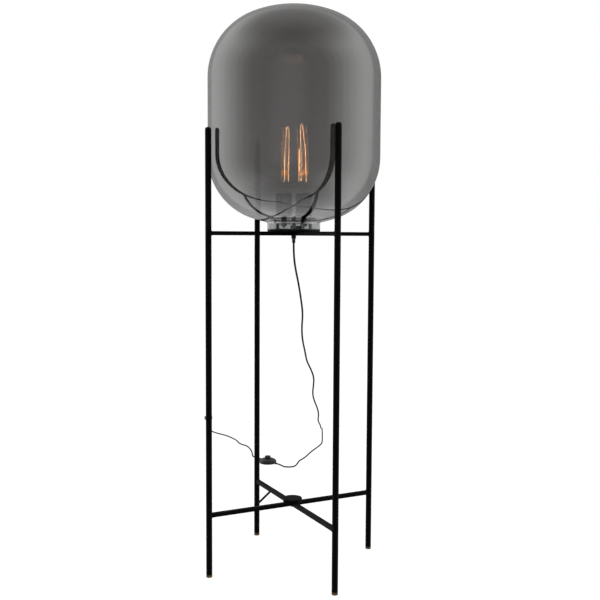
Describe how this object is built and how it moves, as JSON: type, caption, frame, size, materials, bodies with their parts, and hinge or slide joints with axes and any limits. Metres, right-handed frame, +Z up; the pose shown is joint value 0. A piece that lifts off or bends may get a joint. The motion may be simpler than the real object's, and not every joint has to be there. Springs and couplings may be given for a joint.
{
  "type": "globe floor lamp",
  "caption": "Floor lamp: a smoked glass globe with tubular filament bulbs held neck down in a slim black frame of round legs and crossed bars, with a cord and foot switch.",
  "frame": {"origin": "on the floor, under the centre of the four legs", "axes": "+Z up; +X to the right and +Y to the back, along the sides of the square that the legs stand on"},
  "size_m": [1.1659, 1.7679, 1.4],
  "materials": {
    "frame_black": "fine black powder coat, satin",
    "pad_brown": "dense brown pad, matt",
    "smoked_glass": "smoked glass with a light mirror coat",
    "gasket_rubber": "matt",
    "zinc_steel": "zinc plated",
    "bracket_black": "satin black",
    "block_plastic": "matt",
    "cord_black": "smooth black sheath",
    "holder_shell": "dark grey, satin",
    "porcelain": "glazed",
    "brass": "bright",
    "clear_glass": "clear",
    "cap_brass": "bright, slightly dull at the ridges",
    "bulb_tip": "tinned tip on a dark insulator",
    "stem_glass": "clear",
    "filament_glow": "glowing wire",
    "grip_black": "moulded, matt",
    "switch_plastic": "moulded, slightly glossy",
    "plug_plastic": "moulded, matt",
    "pin_nickel": "nickel plated"
  },
  "bodies": {
    "frame_body": {"centre_nipple": "zinc_steel", "cord_grip": "grip_black", "cord_lamp_to_switch": "cord_black", "cord_switch_to_plug": "cord_black", "corner_strut": "frame_black", "foot_pads": "pad_brown", "holder_bracket": "bracket_black", "holder_leads": "cord_black", "holder_left_cap": "holder_shell", "holder_left_contact": "brass", "holder_left_core": "porcelain", "holder_left_skirt": "holder_shell", "holder_left_thread": "brass", "holder_right_cap": "holder_shell", "holder_right_contact": "brass", "holder_right_core": "porcelain", "holder_right_skirt": "holder_shell", "holder_right_thread": "brass", "holder_spacers": "bracket_black", "holder_stubs": "zinc_steel", "leg_back_left": "frame_black", "leg_back_right": "frame_black", "leg_caps": "frame_black", "leg_front_left": "frame_black", "leg_front_right": "frame_black", "lock_nuts": "zinc_steel", "lower_bar_left_diagonal": "frame_black", "lower_bar_right_diagonal": "frame_black", "lower_disc": "frame_black", "lower_disc_screw": "zinc_steel", "neck_gasket": "gasket_rubber", "plug_body": "plug_plastic", "plug_pins": "pin_nickel", "seat_plate": "frame_black", "supply_lead": "cord_black", "switch_boots": "grip_black", "switch_contact_block": "block_plastic", "switch_cord_ends": "cord_black", "switch_lower_shell": "switch_plastic", "switch_screws": "zinc_steel", "switch_upper_shell": "switch_plastic", "terminal_block": "block_plastic", "upper_arm_back_left": "frame_black", "upper_arm_back_right": "frame_black", "upper_arm_front_left": "frame_black", "upper_arm_front_right": "frame_black", "upper_hub": "frame_black"},
    "globe_body": {"globe": "smoked_glass"},
    "button_body": {"switch_button": "switch_plastic", "switch_spring": "zinc_steel"},
    "bulb_left_rise_body": {"bulb_left_contact": "bulb_tip"},
    "bulb_left_body": {"bulb_left_glass": "clear_glass", "bulb_left_cap": "cap_brass", "bulb_left_stem": "stem_glass", "bulb_left_filament": "filament_glow"},
    "bulb_right_rise_body": {"bulb_right_contact": "bulb_tip"},
    "bulb_right_body": {"bulb_right_glass": "clear_glass", "bulb_right_cap": "cap_brass", "bulb_right_stem": "stem_glass", "bulb_right_filament": "filament_glow"}
  },
  "joints": [
    {"name": "globe_lift", "type": "slide", "parent": "frame_body", "child": "globe_body", "axis": [0, 0, 1], "range_m": [0, 0.32]},
    {"name": "button_press", "type": "slide", "parent": "frame_body", "child": "button_body", "axis": [0, 0, -1], "range_m": [0, 0.003], "stiffness_N_per_m": 1000, "springref_m": -0.003, "deforming": ["switch_spring"]},
    {"name": "bulb_left_rise", "type": "slide", "parent": "frame_body", "child": "bulb_left_rise_body", "axis": [0, 0, 1], "range_m": [0, 0.0218]},
    {"name": "bulb_left_unscrew", "type": "hinge", "parent": "bulb_left_rise_body", "child": "bulb_left_body", "pos_m": [-0.0265, 0, 1], "axis": [0, 0, 1], "range_deg": [0, 2160]},
    {"name": "bulb_right_rise", "type": "slide", "parent": "frame_body", "child": "bulb_right_rise_body", "axis": [0, 0, 1], "range_m": [0, 0.0218]},
    {"name": "bulb_right_unscrew", "type": "hinge", "parent": "bulb_right_rise_body", "child": "bulb_right_body", "pos_m": [0.0265, 0, 1], "axis": [0, 0, 1], "range_deg": [0, 2160]}
  ],
  "couplings": [
    {"joint": "bulb_left_rise", "follows": "bulb_left_unscrew", "m_per_rad": 0.00057757},
    {"joint": "bulb_right_rise", "follows": "bulb_right_unscrew", "m_per_rad": 0.00057757}
  ]
}
